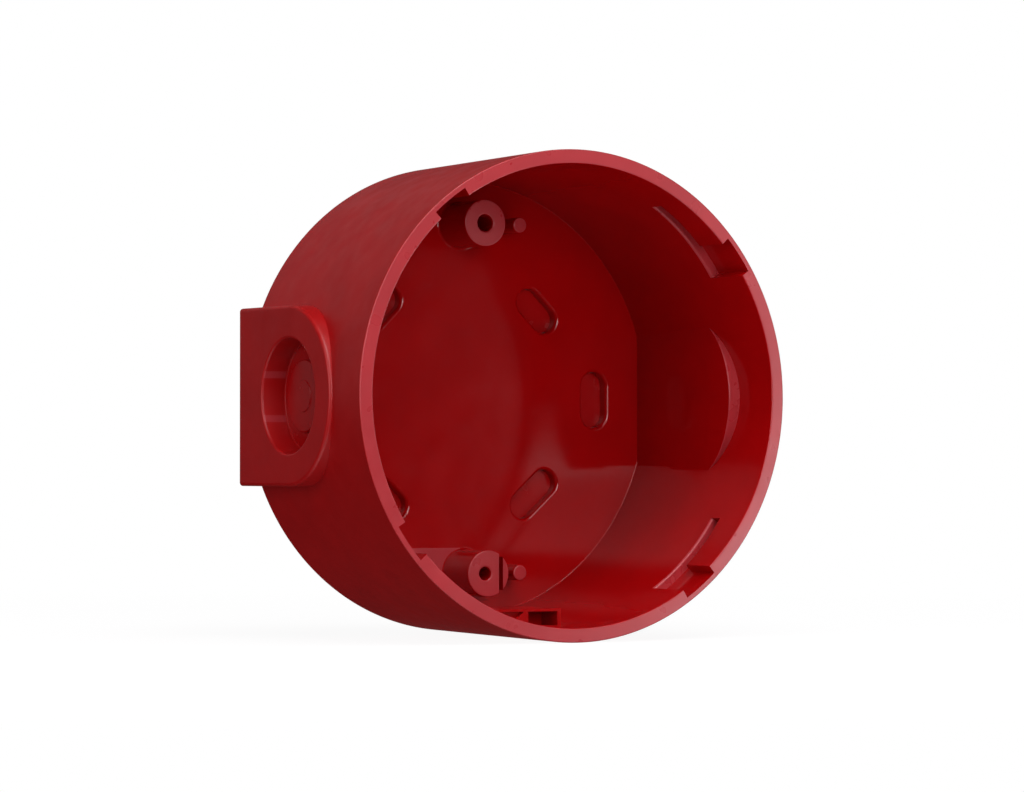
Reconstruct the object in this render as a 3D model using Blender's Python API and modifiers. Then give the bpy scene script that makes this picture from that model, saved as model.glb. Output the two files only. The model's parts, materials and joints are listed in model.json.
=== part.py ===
"""Deep mounting base for a round horn strobe: a red moulded back box with break-out webs.

The box is modelled lying on its back: local z is the height above the wall face and local y is
up. An empty then stands it against the wall, so in the world the wall face is the plane y = 0,
the open front faces -Y, and +Z is up. Everything is in metres.
"""

from math import asin, cos, degrees, pi, radians, sin

import bmesh
import bpy

MM = 0.001

# Cup: a round box whose wall leans in a little towards its back
RIM_RADIUS = 46.5 * MM
DEPTH = 48.5 * MM
DRAFT = 0.7 * MM
WALL = 2.7 * MM
FLOOR = 3.0 * MM
EDGE = 0.4 * MM
TURN_STEPS = 96

# Conduit entries, left and right: a flat block with a round seat for the conduit's end
ENTRY_FACE = 46.9 * MM
ENTRY_HALF_WIDTH = 17.1 * MM
ENTRY_HEIGHT = 20.2 * MM
ENTRY_PAD = 41.2 * MM
SEAT_RADIUS = 10.95 * MM
SEAT_FLOOR = 42.1 * MM
BORE_RADIUS = 10.4 * MM
ENTRY_SIDES = {"right": 0.0, "left": pi}
ARCH_STEPS = 36

# Knock-out that closes an entry: a thin disc with a thicker middle and a drill mark
MIDDLE_RADIUS = 6.9 * MM
MIDDLE_FACE = 43.5 * MM
MARK_RADIUS = 3.0 * MM
MARK_RISE = 0.2 * MM
ROUND_STEPS = 64

# Fixing slots: name to angle, distance from the axis, length and width
UPPER_SLOT = (25.0 * MM, 10.2 * MM, 5.4 * MM)
LOWER_SLOT = (25.4 * MM, 11.9 * MM, 5.4 * MM)
SIDE_SLOT = (31.0 * MM, 11.2 * MM, 5.6 * MM)
SLOTS = {
    "right": (0, *SIDE_SLOT),
    "upper_right": (45, *UPPER_SLOT),
    "upper_left": (135, *UPPER_SLOT),
    "left": (180, *SIDE_SLOT),
    "lower_left": (228, *LOWER_SLOT),
    "lower_right": (312, *LOWER_SLOT),
}
WEB = 0.8 * MM
SLOT_END_STEPS = 12

# Bayonet: four grooves inside the rim, each entered through a notch. Angles in degrees
BAYONET_TURNS = (0, 90, 180, 270)
NOTCH_START = 32.4
NOTCH_END = 42.2
GROOVE_END = 57.6
GROOVE_RADIUS = 45.5 * MM
LEDGE = 37.8 * MM
GROOVE_ROOF = 40.1 * MM
SECTOR_STEP = 2.5

# Screw pillars above and below the axis, with a locating pin beside each
PILLAR_OFFSET = 34.3 * MM
PILLAR_RADIUS = 4.6 * MM
PILLAR_TOP = 13.3 * MM
UPPER_HOLE_RADIUS = 1.66 * MM
LOWER_HOLE_RADIUS = 1.25 * MM
HOLE_FLOOR = 3.5 * MM
LOWER_PILLAR_SHIFT = 0.7 * MM
SLIT_LEFT = 3.05 * MM
SLIT_RIGHT = 3.95 * MM
SLIT_FLOOR = 6.0 * MM
PIN_X = 9.75 * MM
PIN_RADIUS = 1.55 * MM
PIN_TOP = 10.0 * MM

# Latch pocket, hung under a flat shelf at the bottom of the inner wall
SHELF_DROP = 40.3 * MM
SHELF_THICKNESS = 0.5 * MM
SHELF_RIGHT = 1.3 * MM
SHELF_BACK = 26.0 * MM
SHELF_FRONT = 40.0 * MM
POCKET_LEFT = -5.9 * MM
POCKET_RIGHT = 0.5 * MM
POCKET_BACK = 34.0 * MM
GUSSET_TOP = -6.8 * MM
GUSSET_FOOT = -9.1 * MM
GUSSET_BACK = 39.0 * MM
LATCH_STEPS = 8

GAP = 0.3 * MM
OVERLAP = 1.0 * MM
MERGE = 0.01 * MM
SHARP = radians(30)

RED = (0.26, 0.014, 0.017)
WEB_RED = (0.22, 0.010, 0.013)


def outer_radius(height):
    return RIM_RADIUS - DRAFT * (1 - height / DEPTH)


def inner_radius(height):
    return outer_radius(height) - WALL


# Scene and materials


def clear_scene():
    for obj in list(bpy.data.objects):
        bpy.data.objects.remove(obj)


def new_collection(name):
    collection = bpy.data.collections.new(name)
    bpy.context.scene.collection.children.link(collection)
    return collection


def moulded_plastic(name, colour, roughness):
    material = bpy.data.materials.new(name)
    material.use_nodes = True
    shader = material.node_tree.nodes["Principled BSDF"]
    shader.inputs["Base Color"].default_value = (*colour, 1.0)
    shader.inputs["Roughness"].default_value = roughness
    shader.inputs["Metallic"].default_value = 0.0
    return material


def place(obj, collection, parent, location=(0, 0, 0), rotation=(0, 0, 0)):
    obj.parent = parent
    obj.location = location
    obj.rotation_euler = rotation
    collection.objects.link(obj)
    return obj


def place_tool(mesh, collection, parent, location=(0, 0, 0), rotation=(0, 0, 0)):
    """A shape that is joined to the shell or cut from it, and isn't a node."""
    tool = bpy.data.objects.new(mesh.name, mesh)
    tool.hide_render = True
    tool.display_type = "WIRE"
    return place(tool, collection, parent, location, rotation)


# Shapes


def shade(mesh):
    mesh.shade_smooth()
    mesh.set_sharp_from_angle(angle=SHARP)
    return mesh


def arc(radius, start, end, steps):
    """Points on a circle round the origin, from one angle to another, in degrees."""
    angles = [radians(start + (end - start) * i / steps) for i in range(steps + 1)]
    return [(radius * cos(angle), radius * sin(angle)) for angle in angles]


def extruded(name, outline, levels):
    """An outline taken up through levels of (z, scale about the origin)."""
    shape = bmesh.new()
    first_z, first_scale = levels[0]
    corners = [shape.verts.new((x * first_scale, y * first_scale, first_z)) for x, y in outline]
    face = shape.faces.new(corners)
    scale = first_scale
    for z, next_scale in levels[1:]:
        region = [face, *face.edges, *face.verts]
        made = bmesh.ops.extrude_face_region(shape, geom=region)["geom"]
        face = next(item for item in made if isinstance(item, bmesh.types.BMFace))
        for corner in face.verts:
            corner.co.x *= next_scale / scale
            corner.co.y *= next_scale / scale
            corner.co.z = z
        scale = next_scale
    return finished(name, shape)


def cylinder(name, radius, low, high):
    shape = bmesh.new()
    made = bmesh.ops.create_cone(
        shape,
        cap_ends=True,
        segments=ROUND_STEPS,
        radius1=radius,
        radius2=radius,
        depth=high - low,
    )
    bmesh.ops.translate(shape, verts=made["verts"], vec=(0, 0, (low + high) / 2))
    return finished(name, shape)


def finished(name, shape):
    """The bmesh as a mesh with its faces turned outwards."""
    bmesh.ops.recalc_face_normals(shape, faces=shape.faces)
    mesh = bpy.data.meshes.new(name)
    shape.to_mesh(mesh)
    shape.free()
    return shade(mesh)


def turned(name, profile, steps):
    """A profile of (radius, z), from the axis and back to it, turned round z with a Screw."""
    mesh = bpy.data.meshes.new(name)
    points = [(radius, 0.0, z) for radius, z in profile]
    mesh.from_pydata(points, [(i, i + 1) for i in range(len(points) - 1)], [])
    obj = bpy.data.objects.new(name, mesh)
    screw = obj.modifiers.new("turn", "SCREW")
    screw.steps = steps
    screw.render_steps = steps
    screw.use_merge_vertices = True
    screw.merge_threshold = MERGE
    return obj


def baked(obj):
    """Replaces an object's mesh with the one its modifiers make."""
    graph = bpy.context.evaluated_depsgraph_get()
    mesh = bpy.data.meshes.new_from_object(obj.evaluated_get(graph))
    mesh.name = obj.name
    obj.modifiers.clear()
    obj.data = shade(mesh)
    return obj


def ring_sector(name, inner, outer, start, end, low, high):
    steps = max(1, round((end - start) / SECTOR_STEP))
    outline = arc(outer, start, end, steps) + arc(inner, end, start, steps)
    return extruded(name, outline, [(low, 1.0), (high, 1.0)])


def obround(name, length, width, low, high):
    """A slot's shape, its length along y."""
    reach = (length - width) / 2
    top = [(x, y + reach) for x, y in arc(width / 2, 0, 180, SLOT_END_STEPS)]
    bottom = [(x, y - reach) for x, y in arc(width / 2, 180, 360, SLOT_END_STEPS)]
    return extruded(name, top + bottom, [(low, 1.0), (high, 1.0)])


def box(name, left, right, bottom, top, low, high):
    outline = [(left, bottom), (right, bottom), (right, top), (left, top)]
    return extruded(name, outline, [(low, 1.0), (high, 1.0)])


# Shell: the cup, what is joined to it, and what is cut from it


def cup():
    rim, back = outer_radius(DEPTH), outer_radius(0)
    profile = [
        (0, FLOOR),
        (inner_radius(FLOOR), FLOOR),
        (inner_radius(DEPTH - EDGE), DEPTH - EDGE),
        (inner_radius(DEPTH) + EDGE, DEPTH),
        (rim - EDGE, DEPTH),
        (rim, DEPTH - EDGE),
        (outer_radius(EDGE), EDGE),
        (back - EDGE, 0),
        (0, 0),
    ]
    return turned("back_box_shell", profile, TURN_STEPS)


def entry_block():
    """A block with a round end away from the wall. z is along the conduit, x towards the wall."""
    round_end = arc(ENTRY_HALF_WIDTH, 90, 270, ARCH_STEPS)
    outline = [*round_end, (ENTRY_HEIGHT, -ENTRY_HALF_WIDTH), (ENTRY_HEIGHT, ENTRY_HALF_WIDTH)]
    return extruded("entry_block", outline, [(ENTRY_FACE, 1.0), (ENTRY_PAD, 1.0)])


def add_entries(axes, joined, cut):
    block = entry_block()
    seat = cylinder("conduit_seat", SEAT_RADIUS, SEAT_FLOOR, ENTRY_FACE + OVERLAP)
    bore = cylinder("entry_bore", BORE_RADIUS, ENTRY_PAD - OVERLAP, SEAT_FLOOR + OVERLAP)
    for axis in axes.values():
        place_tool(block, joined, axis)
        place_tool(seat, cut, axis)
        place_tool(bore, cut, axis)


def add_pillars(stand, joined, cut):
    root = FLOOR - OVERLAP
    pillar = cylinder("screw_pillar", PILLAR_RADIUS, root, PILLAR_TOP)
    pin = cylinder("locating_pin", PIN_RADIUS, root, PIN_TOP)
    upper_hole = cylinder("upper_hole", UPPER_HOLE_RADIUS, HOLE_FLOOR, PILLAR_TOP + OVERLAP)
    lower_hole = cylinder("lower_hole", LOWER_HOLE_RADIUS, HOLE_FLOOR, PILLAR_TOP + OVERLAP)
    bottom, top = -PILLAR_OFFSET - PILLAR_RADIUS - OVERLAP, -PILLAR_OFFSET + PILLAR_RADIUS + OVERLAP
    slit = box("slit", SLIT_LEFT, SLIT_RIGHT, bottom, top, SLIT_FLOOR, PILLAR_TOP + OVERLAP)
    place_tool(pillar, joined, stand, (0, PILLAR_OFFSET, 0))
    place_tool(pillar, joined, stand, (LOWER_PILLAR_SHIFT, -PILLAR_OFFSET, 0))
    place_tool(pin, joined, stand, (PIN_X, PILLAR_OFFSET, 0))
    place_tool(pin, joined, stand, (PIN_X, -PILLAR_OFFSET, 0))
    place_tool(upper_hole, cut, stand, (0, PILLAR_OFFSET, 0))
    place_tool(lower_hole, cut, stand, (0, -PILLAR_OFFSET, 0))
    place_tool(slit, cut, stand)


def below(radius, x):
    """The angle, in degrees, of the lower point of a circle at this x."""
    return 270 + degrees(asin(x / radius))


def add_latch(stand, joined, cut):
    in_wall = inner_radius(SHELF_BACK) + WALL / 2
    at_wall = inner_radius(SHELF_BACK)
    shelf_start = 180 + degrees(asin(SHELF_DROP / in_wall))
    under = -SHELF_DROP - SHELF_THICKNESS
    shelf = arc(in_wall, shelf_start, below(in_wall, SHELF_RIGHT), LATCH_STEPS)
    shelf.append((SHELF_RIGHT, -SHELF_DROP))
    place_tool(extruded("latch_shelf", shelf, [(SHELF_BACK, 1), (SHELF_FRONT, 1)]), joined, stand)

    start, end = below(at_wall, POCKET_LEFT), below(at_wall, POCKET_RIGHT)
    pocket = arc(at_wall, start, end, LATCH_STEPS)
    pocket += [(POCKET_RIGHT, under), (POCKET_LEFT, under)]
    levels = [(POCKET_BACK, 1), (SHELF_FRONT + OVERLAP, 1)]
    place_tool(extruded("latch_pocket", pocket, levels), cut, stand)

    start = 180 + degrees(asin(-under / at_wall))
    recess = arc(at_wall, start, below(at_wall, GUSSET_FOOT), LATCH_STEPS)
    recess.append((GUSSET_TOP, under))
    levels = [(GUSSET_BACK, 1), (SHELF_FRONT + OVERLAP, 1)]
    place_tool(extruded("gusset_recess", recess, levels), cut, stand)


def add_bayonet(stand, cut):
    inside = inner_radius(LEDGE) - OVERLAP
    notch = ring_sector(
        "notch", inside, GROOVE_RADIUS, NOTCH_START, NOTCH_END, LEDGE, DEPTH + OVERLAP
    )
    groove = ring_sector(
        "groove", inside, GROOVE_RADIUS, NOTCH_START, GROOVE_END, LEDGE, GROOVE_ROOF
    )
    for turn in BAYONET_TURNS:
        place_tool(notch, cut, stand, rotation=(0, 0, radians(turn)))
        place_tool(groove, cut, stand, rotation=(0, 0, radians(turn)))


def slot_place(angle, distance):
    """Location and rotation of a slot whose length runs round the axis."""
    turn = radians(angle)
    return (distance * cos(turn), distance * sin(turn), 0), (0, 0, turn)


def add_slots(stand, cut):
    for name, (angle, distance, length, width) in SLOTS.items():
        mesh = obround(name + "_slot", length, width, -OVERLAP, FLOOR + OVERLAP)
        place_tool(mesh, cut, stand, *slot_place(angle, distance))


def build_shell(stand, axes, parts, material):
    joined = new_collection("joined_to_shell")
    cut = new_collection("cut_from_shell")
    add_entries(axes, joined, cut)
    add_pillars(stand, joined, cut)
    add_latch(stand, joined, cut)
    add_bayonet(stand, cut)
    add_slots(stand, cut)
    shell = place(cup(), parts, stand)
    for operation, tools in (("UNION", joined), ("DIFFERENCE", cut)):
        boolean = shell.modifiers.new(operation.lower(), "BOOLEAN")
        boolean.operation = operation
        boolean.operand_type = "COLLECTION"
        boolean.collection = tools
    baked(shell)
    shell.data.materials.clear()
    shell.data.materials.append(material)
    joined.hide_render = True
    cut.hide_render = True


# Break-out pieces


def build_knockouts(axes, parts, material):
    edge = BORE_RADIUS - GAP
    profile = [
        (0, MIDDLE_FACE + MARK_RISE),
        (MARK_RADIUS, MIDDLE_FACE + MARK_RISE),
        (MARK_RADIUS, MIDDLE_FACE),
        (MIDDLE_RADIUS, MIDDLE_FACE),
        (MIDDLE_RADIUS, SEAT_FLOOR),
        (edge, SEAT_FLOOR),
        (edge, ENTRY_PAD),
        (0, ENTRY_PAD),
    ]
    for side, axis in axes.items():
        disc = place(turned(side + "_entry_knockout", profile, ROUND_STEPS), parts, axis)
        baked(disc).data.materials.append(material)


def build_webs(stand, parts, material):
    for name, (angle, distance, length, width) in SLOTS.items():
        mesh = obround(name + "_slot_web", length - 2 * GAP, width - 2 * GAP, 0, WEB)
        mesh.materials.append(material)
        web = bpy.data.objects.new(mesh.name, mesh)
        place(web, parts, stand, *slot_place(angle, distance))


def main():
    clear_scene()
    parts = new_collection("horn_strobe_back_box")
    red = moulded_plastic("red_moulding", RED, 0.38)
    web_red = moulded_plastic("red_web", WEB_RED, 0.30)
    stand = place(bpy.data.objects.new("wall_face_centre", None), parts, None)
    stand.rotation_euler = (pi / 2, 0, 0)
    axes = {}
    for side, turn in ENTRY_SIDES.items():
        empty = bpy.data.objects.new(side + "_entry_axis", None)
        axes[side] = place(empty, parts, stand, (0, 0, ENTRY_HEIGHT), (0, pi / 2, turn))
    build_shell(stand, axes, parts, red)
    build_knockouts(axes, parts, web_red)
    build_webs(stand, parts, web_red)


main()
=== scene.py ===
"""Looks of the deep mounting base of a round horn strobe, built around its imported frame.

Shapes are modelled lying on their backs, as the part is: local z is the height above the wall
face, local x is to the right and local y is up. STAND then turns each mesh to stand against the
wall. Lengths are in metres.
"""

import json
from math import asin, cos, degrees, hypot, pi, radians, sin, tan

import bmesh
import bpy
from mathutils import Matrix, Vector


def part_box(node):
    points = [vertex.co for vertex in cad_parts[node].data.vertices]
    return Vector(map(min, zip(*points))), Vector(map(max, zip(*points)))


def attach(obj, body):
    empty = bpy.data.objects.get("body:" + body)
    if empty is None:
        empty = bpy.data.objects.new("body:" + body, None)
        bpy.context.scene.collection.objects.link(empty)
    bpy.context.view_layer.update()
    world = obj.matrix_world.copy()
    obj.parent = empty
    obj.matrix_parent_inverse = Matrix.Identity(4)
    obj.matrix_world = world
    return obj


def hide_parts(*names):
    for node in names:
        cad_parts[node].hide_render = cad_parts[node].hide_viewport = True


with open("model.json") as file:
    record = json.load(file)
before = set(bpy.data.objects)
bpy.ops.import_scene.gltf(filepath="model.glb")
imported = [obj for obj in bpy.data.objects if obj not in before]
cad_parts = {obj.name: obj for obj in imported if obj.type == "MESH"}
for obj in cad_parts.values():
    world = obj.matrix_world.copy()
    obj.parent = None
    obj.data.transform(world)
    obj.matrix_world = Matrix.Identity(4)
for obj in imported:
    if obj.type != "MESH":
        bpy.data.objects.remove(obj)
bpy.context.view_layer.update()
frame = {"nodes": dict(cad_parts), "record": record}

MM = 0.001
STAND = Matrix.Rotation(pi / 2, 4, "X")

# Driving sizes, read from the frame
SHELL_LOW, SHELL_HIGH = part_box("back_box_shell")
DISC_LOW, DISC_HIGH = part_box("right_entry_knockout")
RIM_RADIUS = SHELL_HIGH.z
DEPTH = -SHELL_LOW.y
ENTRY_FACE = SHELL_HIGH.x
ENTRY_PAD = DISC_LOW.x
ENTRY_HEIGHT = -(DISC_LOW.y + DISC_HIGH.y) / 2
# Gap in the CAD round each part that breaks out
GAP = 0.3 * MM
BORE_RADIUS = (DISC_HIGH.z - DISC_LOW.z) / 2 + GAP

# Cup
DRAFT = 0.7 * MM
WALL = 2.7 * MM
FLOOR = 3.0 * MM
RIM_ROUND = 0.25 * MM
RIM_FALL = 0.2 * MM
BACK_ROUND = 0.8 * MM
FLOOR_ROUND = 0.15 * MM
WALL_RINGS = 30
TURN_STEPS = 360

# Conduit entries
ENTRY_HALF_WIDTH = 17.1 * MM
PAD_ROUND = 0.25 * MM
BLOCK_ROUND = 0.7 * MM
SEAT_RADIUS = 10.95 * MM
SEAT_FLOOR = 42.1 * MM
SEAT_LIP = 0.5 * MM
BORE_LIP = 0.15 * MM
ARCH_STEPS = 96

# Knock-outs: a thin disc in the bore, its raised middle and the round mark on that. A skin on the
# inside, between its near and far distance from the pad, covers the score round the disc.
MIDDLE_RADIUS = 6.9 * MM
MIDDLE_FACE = 43.5 * MM
MIDDLE_ROUND = 0.3 * MM
STEP_ROUND = 0.15 * MM
DISC_ROUND = 0.1 * MM
MARK_RADIUS = 3.0 * MM
MARK_RISE = 0.18 * MM
MARK_ROUND = 0.08 * MM
SKIN_REACH = 0.5 * MM
SKIN_NEAR = 0.002 * MM
SKIN_FAR = 0.01 * MM
DISC_STEPS = 160
# Score left open round each part that breaks out
SCORE = 0.04 * MM

# Slots
DIAGONAL_WIDTH = 5.4 * MM
SLOT_LIP = 0.7 * MM
SLOT_END_STEPS = 24

# Bayonet: angles in degrees, anticlockwise from the right
BAYONET_TURNS = (0, 90, 180, 270)
NOTCH_START = 32.4
NOTCH_END = 42.2
GROOVE_END = 57.6
GROOVE_RADIUS = 45.5 * MM
LEDGE = 37.8 * MM
GROOVE_ROOF = 40.1 * MM
LEDGE_LIP = 0.5 * MM
SECTOR_STEP = 0.5

# Screw pillars and locating pins
PILLAR_OFFSET = 34.3 * MM
PILLAR_RADIUS = 4.6 * MM
PILLAR_TOP = 13.3 * MM
PILLAR_ROUND = 0.3 * MM
FOOT_ROUND = 0.5 * MM
FOOT_RISE = 0.02 * MM
UPPER_HOLE_RADIUS = 1.66 * MM
LOWER_HOLE_RADIUS = 1.25 * MM
HOLE_FLOOR = 3.5 * MM
HOLE_LIP = 0.4 * MM
LOWER_PILLAR_SHIFT = 0.7 * MM
SLIT_LEFT = 3.05 * MM
SLIT_RIGHT = 3.95 * MM
SLIT_FLOOR = 6.0 * MM
PIN_X = 9.75 * MM
PIN_RADIUS = 1.55 * MM
PIN_TOP = 10.0 * MM
PIN_ROUND = 0.35 * MM
PEG_STEPS = 96

# Latch pocket
SHELF_DROP = 40.3 * MM
SHELF_THICKNESS = 0.5 * MM
SHELF_RIGHT = 1.3 * MM
SHELF_BACK = 26.0 * MM
SHELF_FRONT = 40.0 * MM
POCKET_LEFT = -5.9 * MM
POCKET_RIGHT = 0.5 * MM
POCKET_BACK = 34.0 * MM
GUSSET_TOP = -6.8 * MM
GUSSET_FOOT = -9.1 * MM
GUSSET_BACK = 39.0 * MM
LATCH_STEPS = 24

# How far joined shapes and cutters go past the face that they meet
OVERLAP = 1.0 * MM
# Edges that turn by more than this stay sharp
SHARP = radians(32)
# Faces that are this near to a plane are on it
LEAST = 0.01 * MM

# Rounded lips: how far the arc turns, in how many steps, and the run and climb of the slope that
# ends it, as shares of the lip
LIP_TURN = radians(80)
LIP_STEPS = 6
LIP_RUN = 0.3
LIP_CLIMB = 0.06

# Bead that the joint of a mould insert leaves on the floor, across and along the 45 degree radius
INSERT_TURN = radians(45)
INSERT_EDGE = 30.0 * MM
INSERT_STEP = 33.7 * MM
INSERT_TOP = 13.7 * MM
INSERT_CORNER = -13.4 * MM
INSERT_NECK = -9.7 * MM
BEAD_HALF_WIDTH = 0.4 * MM
BEAD_RISE = 0.02 * MM

# Low pad of the floor between the lower pillar and the wall
PILLAR_PAD_EDGE = 29.4 * MM
PILLAR_PAD_RISE = 0.12 * MM

# Camera
CAMERA_AZIMUTH = radians(30.08)
CAMERA_TILT = radians(0.894)
CAMERA_DISTANCE = 0.837
CAMERA_AIM = (10.25 * MM, -5.95 * MM, 0.61 * MM)
CAMERA_LENS = 148.42


# Shapes


def outer_radius(height):
    return RIM_RADIUS - DRAFT * (1 - height / DEPTH)


def inner_radius(height):
    return outer_radius(height) - WALL


def spread(start, end, steps):
    return [start + (end - start) * i / steps for i in range(steps + 1)]


def arc(radius, start, end, steps):
    """Points on a circle round the origin, from one angle to another, in degrees."""
    return [(radius * cos(radians(a)), radius * sin(radians(a))) for a in spread(start, end, steps)]


def rounded(corners, steps=6):
    """An open path of (x, y, radius) corners as points, with each corner on an arc of its radius."""
    path = []
    for i, (x, y, radius) in enumerate(corners):
        corner = Vector((x, y))
        if radius == 0:
            path.append((x, y))
            continue
        before = (Vector(corners[i - 1][:2]) - corner).normalized()
        after = (Vector(corners[i + 1][:2]) - corner).normalized()
        half = before.angle(after) / 2
        centre = corner + (before + after).normalized() * radius / sin(half)
        start = corner + before * radius / tan(half) - centre
        end = corner + after * radius / tan(half) - centre
        for share in spread(0, 1, steps):
            point = centre + start.lerp(end, share).normalized() * radius
            path.append((point.x, point.y))
    return path


def flare(lip, beyond=OVERLAP):
    """A cutter's (offset, rise) steps that leave a rounded lip on a face, the face being rise 0.

    The lip is an arc up to LIP_TURN, then a short slope through the face.
    """
    steps = [(lip * (1 - cos(a)), lip * sin(a) - lip) for a in spread(0, LIP_TURN, LIP_STEPS)]
    offset, rise = steps[-1]
    past = offset + LIP_RUN * lip
    return [*steps, (past, rise + LIP_CLIMB * lip), (past, beyond)]


def loft(name, rings):
    """A closed mesh through rings of points, with a flat cap on the first and the last."""
    shape = bmesh.new()
    levels = [[shape.verts.new(point) for point in ring] for ring in rings]
    count = len(levels[0])
    for low, high in zip(levels, levels[1:]):
        for i in range(count):
            j = (i + 1) % count
            shape.faces.new((low[i], low[j], high[j], high[i]))
    shape.faces.new(levels[0])
    shape.faces.new(levels[-1])
    bmesh.ops.recalc_face_normals(shape, faces=shape.faces)
    mesh = bpy.data.meshes.new(name)
    shape.to_mesh(mesh)
    shape.free()
    return mesh


def turned(name, path, steps):
    """A path of (radius, z), from the axis and back to it, turned round z."""
    circle = arc(1, 0, 360, steps)[:-1]
    rings = [[(r * x, r * y, z) for x, y in circle] for r, z in path if r > 0]
    return loft(name, rings)


def prism(name, outline, low, high):
    return loft(name, [[(x, y, z) for x, y in outline] for z in (low, high)])


def obround(length, width):
    """A slot's outline, its length along y."""
    reach = (length - width) / 2
    top = [(x, y + reach) for x, y in arc(width / 2, 0, 180, SLOT_END_STEPS)]
    bottom = [(x, y - reach) for x, y in arc(width / 2, 180, 360, SLOT_END_STEPS)]
    return top + bottom


def arch(offset):
    """An entry's outline grown by an offset: x towards the wall, its round end away from it."""
    half = ENTRY_HALF_WIDTH + offset
    return [*arc(half, 90, 270, ARCH_STEPS), (ENTRY_HEIGHT, -half), (ENTRY_HEIGHT, half)]


# Building by union and difference


def solve(base, others, operation):
    """The base mesh joined with, or cut by, (mesh, placement) pairs, one after another."""
    obj = bpy.data.objects.new(base.name, base)
    bpy.context.scene.collection.objects.link(obj)
    tools = []
    for mesh, placement in others:
        tool = bpy.data.objects.new(mesh.name, mesh)
        bpy.context.scene.collection.objects.link(tool)
        tool.matrix_world = placement
        tools.append(tool)
        boolean = obj.modifiers.new(mesh.name, "BOOLEAN")
        boolean.operation = operation
        boolean.solver = "MANIFOLD"
        boolean.object = tool
    graph = bpy.context.evaluated_depsgraph_get()
    mesh = bpy.data.meshes.new_from_object(obj.evaluated_get(graph))
    for used in (obj, *tools):
        bpy.data.objects.remove(used)
    return mesh


def at(x=0.0, y=0.0, z=0.0, turn=0.0):
    return Matrix.Translation((x, y, z)) @ Matrix.Rotation(turn, 4, "Z")


def entry_axis(side):
    """Local z along an entry's axis, outwards; local x towards the wall."""
    turn = 0 if side == "right" else pi
    lean = Matrix.Rotation(turn, 4, "Z") @ Matrix.Rotation(pi / 2, 4, "Y")
    return Matrix.Translation((0, 0, ENTRY_HEIGHT)) @ lean


SIDES = ("right", "left")


# Shell


def cup():
    walls = spread(FLOOR + 2 * FLOOR_ROUND, DEPTH - 3 * RIM_ROUND, WALL_RINGS)
    path = [
        (0, FLOOR, 0),
        (inner_radius(FLOOR), FLOOR, FLOOR_ROUND),
        *[(inner_radius(z), z, 0) for z in walls],
        (inner_radius(DEPTH), DEPTH, RIM_ROUND),
        (outer_radius(DEPTH), DEPTH - RIM_FALL, RIM_ROUND),
        *[(outer_radius(z), z, 0) for z in reversed(walls)],
        (outer_radius(0), 0, BACK_ROUND),
        (0, 0, 0),
    ]
    return turned("back_box_shell_looks", rounded(path), TURN_STEPS)


def entry_block():
    """The block round an entry, its outer edge and the edge of its pad inside the cup rounded."""
    path = [
        (-2 * BLOCK_ROUND, ENTRY_PAD, 0),
        (0, ENTRY_PAD, PAD_ROUND),
        (0, ENTRY_FACE, BLOCK_ROUND),
        (-2 * BLOCK_ROUND, ENTRY_FACE, 0),
    ]
    steps = rounded(path)[1:-1]
    return loft("entry_block", [[(x, y, z) for x, y in arch(offset)] for offset, z in steps])


def pillar():
    path = [
        (0, FLOOR - OVERLAP, 0),
        (PILLAR_RADIUS + FOOT_ROUND, FLOOR - OVERLAP, 0),
        (PILLAR_RADIUS + FOOT_ROUND, FLOOR, 0),
        (PILLAR_RADIUS, FLOOR + FOOT_RISE, FOOT_ROUND * 0.95),
        (PILLAR_RADIUS, PILLAR_TOP, PILLAR_ROUND),
        (0, PILLAR_TOP, 0),
    ]
    return turned("screw_pillar", rounded(path), PEG_STEPS)


def pin():
    path = [
        (0, FLOOR - OVERLAP, 0),
        (PIN_RADIUS, FLOOR - OVERLAP, 0),
        (PIN_RADIUS, PIN_TOP, PIN_ROUND),
        (0, PIN_TOP, 0),
    ]
    return turned("locating_pin", rounded(path), PEG_STEPS)


def below(radius, x):
    """The angle, in degrees, of the lower point of a circle at this x."""
    return 270 + degrees(asin(x / radius))


def latch_shelf():
    in_wall = inner_radius(SHELF_BACK) + WALL / 2
    start = 180 + degrees(asin(SHELF_DROP / in_wall))
    outline = arc(in_wall, start, below(in_wall, SHELF_RIGHT), LATCH_STEPS)
    outline.append((SHELF_RIGHT, -SHELF_DROP))
    return prism("latch_shelf", outline, SHELF_BACK, SHELF_FRONT)


def latch_pocket():
    at_wall = inner_radius(SHELF_BACK)
    under = -SHELF_DROP - SHELF_THICKNESS
    outline = arc(at_wall, below(at_wall, POCKET_LEFT), below(at_wall, POCKET_RIGHT), LATCH_STEPS)
    outline += [(POCKET_RIGHT, under), (POCKET_LEFT, under)]
    return prism("latch_pocket", outline, POCKET_BACK, SHELF_FRONT + OVERLAP)


def gusset_recess():
    at_wall = inner_radius(SHELF_BACK)
    under = -SHELF_DROP - SHELF_THICKNESS
    start = 180 + degrees(asin(-under / at_wall))
    outline = arc(at_wall, start, below(at_wall, GUSSET_FOOT), LATCH_STEPS)
    outline.append((GUSSET_TOP, under))
    return prism("gusset_recess", outline, GUSSET_BACK, SHELF_FRONT + OVERLAP)


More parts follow.
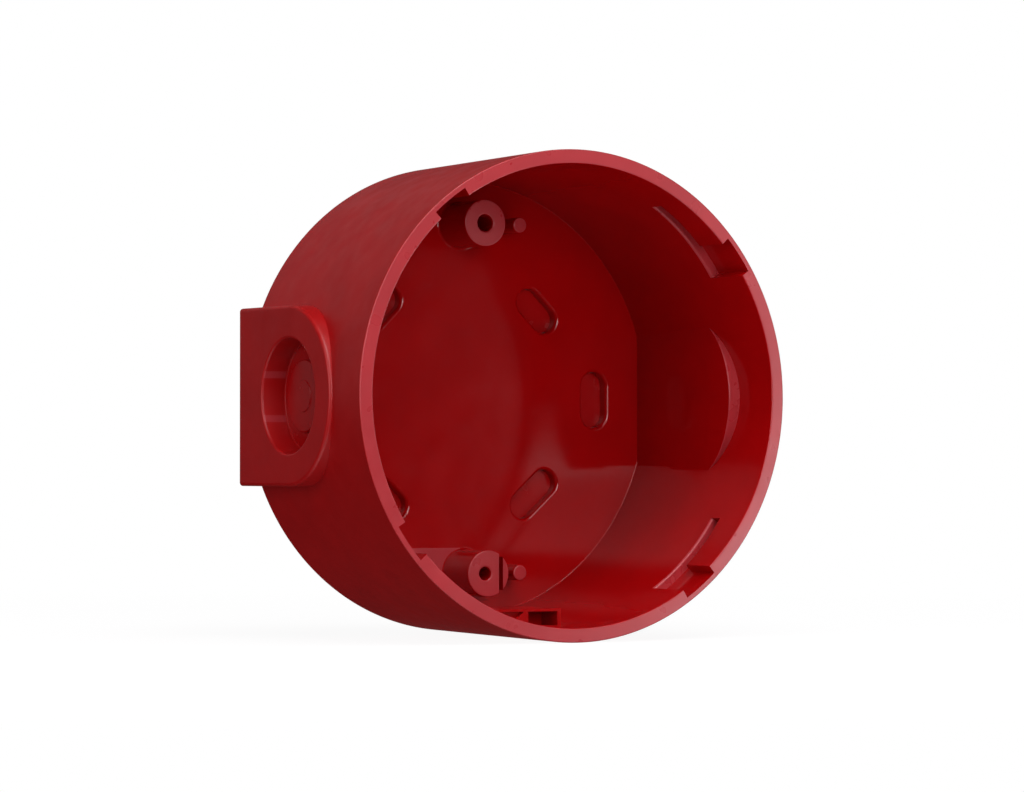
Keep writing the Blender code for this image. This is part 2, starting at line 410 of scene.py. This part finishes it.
def insert_beads():
    """Low beads on the floor round the mould insert beside the upper pillar."""
    wall_side = (inner_radius(FLOOR) ** 2 - INSERT_NECK**2) ** 0.5
    corners = [
        (INSERT_EDGE, INSERT_TOP),
        (INSERT_EDGE, INSERT_CORNER),
        (INSERT_STEP, INSERT_CORNER),
        (INSERT_STEP, INSERT_NECK),
        (wall_side, INSERT_NECK),
    ]
    section = (
        (BEAD_HALF_WIDTH, FLOOR - OVERLAP),
        (BEAD_HALF_WIDTH, FLOOR),
        (BEAD_HALF_WIDTH / 2, FLOOR + BEAD_RISE),
    )
    beads = []
    for start, end in zip(corners, corners[1:]):
        rings = []
        for half, z in section:
            left, right = min(start[0], end[0]) - half, max(start[0], end[0]) + half
            front, back = min(start[1], end[1]) - half, max(start[1], end[1]) + half
            rings.append([(left, front, z), (right, front, z), (right, back, z), (left, back, z)])
        beads.append(loft("insert_bead", rings))
    return beads


def pillar_pad():
    """The low pad left of the lower pillar, up to a level edge that lines up with the pillar's top."""
    in_wall = inner_radius(FLOOR) + WALL / 2
    start = 180 + degrees(asin(PILLAR_PAD_EDGE / in_wall))
    outline = arc(in_wall, start, 270, LATCH_STEPS)
    outline.append((0, -PILLAR_PAD_EDGE))
    return prism("pillar_pad", outline, FLOOR - OVERLAP, FLOOR + PILLAR_PAD_RISE)


def hole(radius, bottom, face, lip):
    """A turned cutter for a round hole with a rounded lip."""
    path = [(0, bottom), (radius, bottom)]
    path += [(radius + offset, face + rise) for offset, rise in flare(lip)]
    path.append((0, path[-1][1]))
    return turned("hole", path, PEG_STEPS)


def slot_cutter(length, width):
    steps = [(0, -OVERLAP - FLOOR), *flare(SLOT_LIP)]
    rings = []
    for offset, rise in steps:
        outline = obround(length + 2 * offset, width + 2 * offset)
        rings.append([(x, y, FLOOR + rise) for x, y in outline])
    return loft("slot", rings)


def sector(name, section, start, end):
    """A section of (radius, z) points swept round the axis between two angles, in degrees."""
    rings = []
    for angle in spread(start, end, round((end - start) / SECTOR_STEP)):
        turn = radians(angle)
        rings.append([(r * cos(turn), r * sin(turn), z) for r, z in section])
    return loft(name, rings)


def bayonet_cutters():
    """The notch that is open at the rim, and the groove that runs on from it."""
    steps = flare(LEDGE_LIP)
    floor = [(inner_radius(LEDGE) - rise, LEDGE - offset) for offset, rise in steps]
    roof = [(inner_radius(GROOVE_ROOF) - rise, GROOVE_ROOF + offset) for offset, rise in steps]
    groove = [(GROOVE_RADIUS, LEDGE), *floor, *reversed(roof), (GROOVE_RADIUS, GROOVE_ROOF)]
    inside = floor[-1][0]
    top = DEPTH + OVERLAP
    notch = [(GROOVE_RADIUS, LEDGE), *floor, (inside, top), (GROOVE_RADIUS, top)]
    return (
        sector("notch", notch, NOTCH_START, NOTCH_END),
        sector("groove", groove, NOTCH_START, GROOVE_END),
    )


def slot_frames():
    """Each slot web's name, place, turn and CAD size, from its box."""
    frames = {}
    for node in frame["nodes"]:
        if not node.endswith("_slot_web"):
            continue
        low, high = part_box(node)
        x, y = (low.x + high.x) / 2, (low.z + high.z) / 2
        turn = -Vector((1, 0)).angle_signed(Vector((x, y)).normalized())
        frames[node] = (x, y, turn, high.x - low.x, high.z - low.z)
    return frames


def slot_size(turn, wide, tall):
    """Length and width of a slot from its web's box and the angle it is turned by."""
    upright = abs(sin(2 * turn)) < 0.5
    if upright:
        return tall + 2 * GAP, wide + 2 * GAP
    reach = (wide + 2 * GAP - DIAGONAL_WIDTH) / abs(sin(turn))
    return reach + DIAGONAL_WIDTH, DIAGONAL_WIDTH


def added_shapes():
    """What the union adds to the cup, each with its placement."""
    shapes = [(entry_block(), entry_axis(side)) for side in SIDES]
    shapes.append((pillar(), at(0, PILLAR_OFFSET)))
    shapes.append((pillar(), at(LOWER_PILLAR_SHIFT, -PILLAR_OFFSET)))
    shapes.append((pin(), at(PIN_X, PILLAR_OFFSET)))
    shapes.append((pin(), at(PIN_X, -PILLAR_OFFSET)))
    shapes.append((latch_shelf(), at()))
    shapes.append((pillar_pad(), at()))
    shapes += [(bead, at(turn=INSERT_TURN)) for bead in insert_beads()]
    return shapes


def pillar_cutters():
    """The screw holes, and the slit in the lower pillar."""
    half = PILLAR_RADIUS + OVERLAP
    outline = [(SLIT_LEFT, -half), (SLIT_RIGHT, -half), (SLIT_RIGHT, half), (SLIT_LEFT, half)]
    upper = hole(UPPER_HOLE_RADIUS, HOLE_FLOOR, PILLAR_TOP, HOLE_LIP)
    lower = hole(LOWER_HOLE_RADIUS, HOLE_FLOOR, PILLAR_TOP, HOLE_LIP)
    slit = prism("slit", outline, SLIT_FLOOR, PILLAR_TOP + OVERLAP)
    return [
        (upper, at(0, PILLAR_OFFSET)),
        (lower, at(0, -PILLAR_OFFSET)),
        (slit, at(0, -PILLAR_OFFSET)),
    ]


def cut_shapes():
    """What the difference takes from the shell, each with its placement."""
    shapes = []
    for side in SIDES:
        shapes.append((hole(SEAT_RADIUS, SEAT_FLOOR, ENTRY_FACE, SEAT_LIP), entry_axis(side)))
        shapes.append((hole(BORE_RADIUS, ENTRY_PAD - OVERLAP, SEAT_FLOOR, BORE_LIP), entry_axis(side)))
    shapes.append((latch_pocket(), at()))
    shapes.append((gusset_recess(), at()))
    shapes += pillar_cutters()
    for turn in BAYONET_TURNS:
        shapes += [(cutter, at(turn=radians(turn))) for cutter in bayonet_cutters()]
    for x, y, turn, wide, tall in slot_frames().values():
        shapes.append((slot_cutter(*slot_size(turn, wide, tall)), at(x, y, 0, turn)))
    return shapes


def shell_mesh():
    joined = solve(cup(), added_shapes(), "UNION")
    return solve(joined, cut_shapes(), "DIFFERENCE")


# Pieces

# The matt zone's paler red is painted sheen and painted highlight
OUTSIDE, INSIDE, MATT_PAINTED_SHEEN = range(3)
TOPS = (DEPTH, PILLAR_TOP, PIN_TOP, LEDGE)


def is_matt_with_painted_sheen(centre, normal, radius, from_entry_axis):
    """Whether a face takes the pale matt red: painted sheen on a matt top or on the pad by the lower
    pillar, and a painted highlight on a bayonet ledge's lip or on an entry block's side wall.
    """
    on_top = min(abs(centre.z - top) for top in TOPS) < RIM_ROUND
    # The pad by the lower pillar takes the pale matt red too: painted sheen
    on_pillar_pad = abs(centre.z - FLOOR - PILLAR_PAD_RISE) < LEAST
    if normal.z > 0.7 and (on_top or on_pillar_pad):
        return True
    # A bayonet ledge's lip takes the pale matt red as a painted highlight
    below_ledge = LEDGE - centre.z
    within_lip = inner_radius(LEDGE) - LEDGE_LIP < radius < GROOVE_RADIUS
    if normal.z > 0.1 and 0 <= below_ledge < LEDGE_LIP and within_lip:
        return True
    # So does the side wall of an entry block inside the cup: a painted highlight
    mid_wall = (outer_radius(centre.z) + inner_radius(centre.z)) / 2
    in_cup = radius < mid_wall and abs(centre.x) > ENTRY_PAD
    return in_cup and normal.z > 0.3 and abs(from_entry_axis - ENTRY_HALF_WIDTH) < PAD_ROUND


def zone(centre, normal):
    """Which finish of the mould a face of the shell has, from its place and the way that it faces; the
    matt finish's pale red is painted sheen and painted highlight.
    """
    radius = hypot(centre.x, centre.y)
    from_entry_axis = hypot(centre.y, centre.z - ENTRY_HEIGHT)
    if is_matt_with_painted_sheen(centre, normal, radius, from_entry_axis):
        return MATT_PAINTED_SHEEN
    mid_wall = (outer_radius(centre.z) + inner_radius(centre.z)) / 2
    outward = (normal.x * centre.x + normal.y * centre.y) / radius
    on_outside = radius > mid_wall and outward > -0.5
    in_seat = abs(centre.x) > ENTRY_PAD + GAP and from_entry_axis < SEAT_RADIUS + SEAT_LIP
    on_back = centre.z < LEAST
    return OUTSIDE if in_seat or on_back or on_outside else INSIDE


def zoned(mesh, materials):
    """Gives each face of the shell its zone's material."""
    mesh.materials.clear()
    for material in materials:
        mesh.materials.append(material)
    for face in mesh.polygons:
        face.material_index = zone(face.center, face.normal)


def finished(name, mesh, slot, body, *nodes):
    """Puts a mesh in the scene as a piece that stands for CAD nodes and rides on their body."""
    mesh.transform(STAND)
    mesh.name = name
    mesh.shade_smooth()
    mesh.set_sharp_from_angle(angle=SHARP)
    obj = bpy.data.objects.new(name, mesh)
    bpy.context.scene.collection.objects.link(obj)
    normals = obj.modifiers.new("even_normals", "WEIGHTED_NORMAL")
    normals.keep_sharp = True
    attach(obj, body)
    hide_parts(*nodes)
    return obj


# Materials

RED = (0.38, 0.0012, 0.0022)
# The matt red is paler and pinker than the red: painted sheen that stands in for light scattered by
# the rough tops, and a painted highlight on ledge lips and entry block walls
MATT_RED_PAINTED_SHEEN = (0.42, 0.028, 0.035)
# Each finish: its colour, its roughness, and the heights of its peel and of its grain
FINISHES = {
    "red_outside": (RED, 0.4, 0.006 * MM, 0.003 * MM),
    "red_inside": (RED, 0.12, 0.002 * MM, 0.0004 * MM),
    "red_matt_painted_sheen": (MATT_RED_PAINTED_SHEEN, 0.3, 0.003 * MM, 0.002 * MM),
    "red_web": (RED, 0.25, 0.004 * MM, 0.001 * MM),
}
MOTTLE_SIZE = 9 * MM
MOTTLE = 0.06
GLOSS_SIZE = 4 * MM
GLOSS_SPREAD = 0.12
PEEL_SIZE = 2.4 * MM
GRAIN_SIZE = 0.35 * MM


def noise(tree, size, detail):
    """Noise whose largest features are about this size, in metres."""
    place = tree.nodes.new("ShaderNodeTexCoord")
    texture = tree.nodes.new("ShaderNodeTexNoise")
    texture.inputs["Scale"].default_value = 1 / size
    texture.inputs["Detail"].default_value = detail
    tree.links.new(place.outputs["Object"], texture.inputs["Vector"])
    return texture.outputs["Fac"]


def ranged(tree, value, low, high):
    """A noise value, mostly from 0.3 to 0.7, spread over a range."""
    spreader = tree.nodes.new("ShaderNodeMapRange")
    spreader.clamp = False
    spreader.inputs["From Min"].default_value = 0.3
    spreader.inputs["From Max"].default_value = 0.7
    spreader.inputs["To Min"].default_value = low
    spreader.inputs["To Max"].default_value = high
    tree.links.new(value, spreader.inputs["Value"])
    return spreader.outputs["Result"]


def bumped(tree, height, distance, normal=None):
    bump = tree.nodes.new("ShaderNodeBump")
    bump.inputs["Distance"].default_value = distance
    tree.links.new(height, bump.inputs["Height"])
    if normal:
        tree.links.new(normal, bump.inputs["Normal"])
    return bump.outputs["Normal"]


def mixed(tree, share, one, other):
    mix = tree.nodes.new("ShaderNodeMix")
    mix.data_type = "RGBA"
    tree.links.new(share, mix.inputs["Factor"])
    mix.inputs["A"].default_value = (*one, 1)
    mix.inputs["B"].default_value = (*other, 1)
    return mix.outputs["Result"]


def moulded(name, colour, roughness, peel, grain):
    """Solid-coloured moulded plastic.

    Its colour and gloss are slightly uneven, and its surface has the shallow waves of a moulding
    (peel) and the fine grain of the mould (grain), both given as heights.
    """
    material = bpy.data.materials.new(name)
    material.use_nodes = True
    tree = material.node_tree
    shader = tree.nodes["Principled BSDF"]
    deep = tuple((1 - MOTTLE) * channel for channel in colour)
    full = tuple((1 + MOTTLE) * channel for channel in colour)
    mottle = ranged(tree, noise(tree, MOTTLE_SIZE, 2), 0, 1)
    tree.links.new(mixed(tree, mottle, deep, full), shader.inputs["Base Color"])
    glossy, dull = (1 - GLOSS_SPREAD) * roughness, (1 + GLOSS_SPREAD) * roughness
    gloss = ranged(tree, noise(tree, GLOSS_SIZE, 2), glossy, dull)
    tree.links.new(gloss, shader.inputs["Roughness"])
    waves = bumped(tree, noise(tree, PEEL_SIZE, 2), peel)
    fine = bumped(tree, noise(tree, GRAIN_SIZE, 3), grain, waves)
    tree.links.new(fine, shader.inputs["Normal"])
    return material


def add_shell(finishes):
    shell = shell_mesh()
    # The third material, the pale matt red, is painted sheen and painted highlight
    zoned(shell, (finishes["red_outside"], finishes["red_inside"], finishes["red_matt_painted_sheen"]))
    finished("back_box_shell_looks", shell, "red_moulding", "back_box", "back_box_shell")


def knockout(side):
    """The disc in an entry, with its skin on the inside and its raised middle outside."""
    edge = BORE_RADIUS - SCORE
    skin = BORE_RADIUS + SKIN_REACH
    path = [
        (0, ENTRY_PAD - SKIN_FAR, 0),
        (skin, ENTRY_PAD - SKIN_FAR, 0),
        (skin, ENTRY_PAD - SKIN_NEAR, 0),
        (edge, ENTRY_PAD - SKIN_NEAR, 0),
        (edge, SEAT_FLOOR, DISC_ROUND),
        (MIDDLE_RADIUS, SEAT_FLOOR, STEP_ROUND),
        (MIDDLE_RADIUS, MIDDLE_FACE, MIDDLE_ROUND),
        (MARK_RADIUS, MIDDLE_FACE, MARK_ROUND),
        (MARK_RADIUS, MIDDLE_FACE + MARK_RISE, MARK_ROUND),
        (0, MIDDLE_FACE + MARK_RISE, 0),
    ]
    disc = turned("knockout", rounded(path), DISC_STEPS)
    disc.transform(entry_axis(side))
    return disc


def add_knockout(side, body, finishes):
    node = side + "_entry_knockout"
    disc = knockout(side)
    disc.materials.append(finishes["red_web"])
    disc.materials.append(finishes["red_inside"])
    for face in disc.polygons:
        face.material_index = int(abs(face.center.x) < ENTRY_PAD + GAP)
    finished(node + "_looks", disc, "red_web", body, node)


def add_slot_web(node, body, finishes):
    x, y, turn, wide, tall = slot_frames()[node]
    length, width = slot_size(turn, wide, tall)
    low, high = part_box(node)
    web = prism(node, obround(length - 2 * SCORE, width - 2 * SCORE), 0, high.y - low.y)
    web.transform(at(x, y, 0, turn))
    web.materials.append(finishes["red_web"])
    finished(node + "_looks", web, "red_web", body, node)


def build():
    finishes = {name: moulded(name, *settings) for name, settings in FINISHES.items()}
    body_of = {}
    for body, nodes in frame["record"]["behaviour"]["bodies"].items():
        for node in nodes:
            body_of[node] = body
    add_shell(finishes)
    for side in SIDES:
        add_knockout(side, body_of[side + "_entry_knockout"], finishes)
    for node in slot_frames():
        add_slot_web(node, body_of[node], finishes)


# Studio

STUDIO_WHITE = (1.0, 0.97, 1.0)
AMBIENT = 0.023
SHADOW_REACH = 0.3
FLOOR_GLOW = 0.93
FLOOR_CLOTH = (0.1, 0.1, 0.1, 1)
FLOOR_HALF_SIDE = 3
SENSOR_WIDTH = 36


def add_camera():
    data = bpy.data.cameras.new("camera")
    data.sensor_width = SENSOR_WIDTH
    data.lens = CAMERA_LENS
    data.clip_start = 0.05
    data.clip_end = 20
    camera = bpy.data.objects.new("camera", data)
    camera.rotation_euler = (pi / 2 + CAMERA_TILT, 0, -CAMERA_AZIMUTH)
    ahead = camera.rotation_euler.to_matrix() @ Vector((0, 0, -1))
    camera.location = Vector(CAMERA_AIM) - CAMERA_DISTANCE * ahead
    bpy.context.scene.collection.objects.link(camera)
    bpy.context.scene.camera = camera


def add_world():
    world = bpy.data.worlds.new("studio")
    world.use_nodes = True
    nodes, links = world.node_tree.nodes, world.node_tree.links
    nodes.clear()
    seen = nodes.new("ShaderNodeBackground")
    seen.inputs["Color"].default_value = (1, 1, 1, 1)
    lit = nodes.new("ShaderNodeBackground")
    lit.inputs["Color"].default_value = (1, 1, 1, 1)
    lit.inputs["Strength"].default_value = AMBIENT
    path = nodes.new("ShaderNodeLightPath")
    mix = nodes.new("ShaderNodeMixShader")
    out = nodes.new("ShaderNodeOutputWorld")
    links.new(path.outputs["Is Camera Ray"], mix.inputs["Fac"])
    links.new(lit.outputs[0], mix.inputs[1])
    links.new(seen.outputs[0], mix.inputs[2])
    links.new(mix.outputs[0], out.inputs["Surface"])
    bpy.context.scene.world = world


def floor_white():
    """White that takes a faint shadow near the object, fades into the backdrop, and hides nothing."""
    material = bpy.data.materials.new("floor_white")
    material.use_nodes = True
    tree = material.node_tree
    tree.nodes.clear()
    glow = tree.nodes.new("ShaderNodeEmission")
    glow.inputs["Strength"].default_value = FLOOR_GLOW
    cloth = tree.nodes.new("ShaderNodeBsdfDiffuse")
    cloth.inputs["Color"].default_value = FLOOR_CLOTH
    both = tree.nodes.new("ShaderNodeAddShader")
    far_glow = tree.nodes.new("ShaderNodeEmission")
    place = tree.nodes.new("ShaderNodeTexCoord")
    distance = tree.nodes.new("ShaderNodeVectorMath")
    distance.operation = "LENGTH"
    fade = tree.nodes.new("ShaderNodeMapRange")
    fade.inputs["From Min"].default_value = SHADOW_REACH / 3
    fade.inputs["From Max"].default_value = SHADOW_REACH
    floor_mix = tree.nodes.new("ShaderNodeMixShader")
    clear = tree.nodes.new("ShaderNodeBsdfTransparent")
    seen_from = tree.nodes.new("ShaderNodeNewGeometry")
    mix = tree.nodes.new("ShaderNodeMixShader")
    out = tree.nodes.new("ShaderNodeOutputMaterial")
    tree.links.new(glow.outputs[0], both.inputs[0])
    tree.links.new(cloth.outputs[0], both.inputs[1])
    tree.links.new(place.outputs["Object"], distance.inputs[0])
    tree.links.new(distance.outputs["Value"], fade.inputs["Value"])
    tree.links.new(fade.outputs["Result"], floor_mix.inputs["Fac"])
    tree.links.new(both.outputs[0], floor_mix.inputs[1])
    tree.links.new(far_glow.outputs[0], floor_mix.inputs[2])
    tree.links.new(seen_from.outputs["Backfacing"], mix.inputs["Fac"])
    tree.links.new(floor_mix.outputs[0], mix.inputs[1])
    tree.links.new(clear.outputs[0], mix.inputs[2])
    tree.links.new(mix.outputs[0], out.inputs["Surface"])
    return material


def add_floor():
    mesh = bpy.data.meshes.new("floor")
    half = FLOOR_HALF_SIDE
    corners = [(-half, -half, 0), (half, -half, 0), (half, half, 0), (-half, half, 0)]
    mesh.from_pydata(corners, [], [(0, 1, 2, 3)])
    floor = bpy.data.objects.new("floor", mesh)
    floor.location.z = -RIM_RADIUS
    bpy.context.scene.collection.objects.link(floor)
    mesh.materials.append(floor_white())
    for ray in ("visible_diffuse", "visible_glossy", "visible_shadow"):
        setattr(floor, ray, False)


# Each softbox: the way to it (azimuth, elevation) and how wide and tall it looks, in degrees; its
# brightness, where 1 is as bright as white paper looks; and whether it lights the object, shows in
# its reflections, or both
SOFTBOX_DISTANCE = 1.2
LIGHTS, SHOWS, BOTH = "lights", "shows", "both"
SOFTBOXES = {
    "high_left_softbox": (-112, 57, 45, 25, 3.2, BOTH),
    "high_right_softbox": (-67, 57, 45, 25, 3.1, BOTH),
    "front_softbox": (-105, 32, 30, 25, 1.9, BOTH),
    "front_low_softbox": (-102, 10, 24, 18, 5.6, BOTH),
    "left_softbox": (-165, 12, 30, 35, 2.9, BOTH),
    "left_low_softbox": (-165, -32, 30, 30, 0.25, BOTH),
    "table_left": (-105, -35, 30, 30, 0.95, LIGHTS),
    "table_right": (-60, -35, 60, 30, 1.2, LIGHTS),
    "table_under": (-135, -70, 60, 30, 1.15, BOTH),
    "backdrop_middle": (100, 25, 50, 50, 0.15, BOTH),
    "backdrop_right": (50, 10, 50, 50, 0.1, BOTH),
    "behind_softbox": (90, 0, 20, 20, 9.0, LIGHTS),
    "back_panel": (105, 22, 30, 40, 0.04, SHOWS),
    "front_panel": (-65, 18, 24, 16, 0.6, SHOWS),
    "right_panel": (-47, 0, 20, 12, 2.8, SHOWS),
    "right_high_panel": (-43, 12, 16, 12, 2.0, SHOWS),
    "right_low_panel": (-43, -12, 16, 12, 9.0, SHOWS),
}


def add_softbox(name, azimuth, elevation, wide, tall, brightness, use):
    across, up = radians(azimuth), radians(elevation)
    away = Vector((cos(up) * cos(across), cos(up) * sin(across), sin(up)))
    data = bpy.data.lights.new(name, "AREA")
    data.shape = "RECTANGLE"
    data.size = 2 * SOFTBOX_DISTANCE * tan(radians(wide) / 2)
    data.size_y = 2 * SOFTBOX_DISTANCE * tan(radians(tall) / 2)
    data.energy = brightness * pi * data.size * data.size_y
    data.color = STUDIO_WHITE
    light = bpy.data.objects.new(name, data)
    light.location = away * SOFTBOX_DISTANCE
    light.rotation_euler = away.to_track_quat("Z", "Y").to_euler()
    light.visible_diffuse = use != SHOWS
    light.visible_glossy = use != LIGHTS
    bpy.context.scene.collection.objects.link(light)


def add_studio():
    add_camera()
    add_world()
    add_floor()
    for name, settings in SOFTBOXES.items():
        add_softbox(name, *settings)
    view = bpy.context.scene.view_settings
    view.view_transform = "Standard"
    view.look = "None"


build()
add_studio()
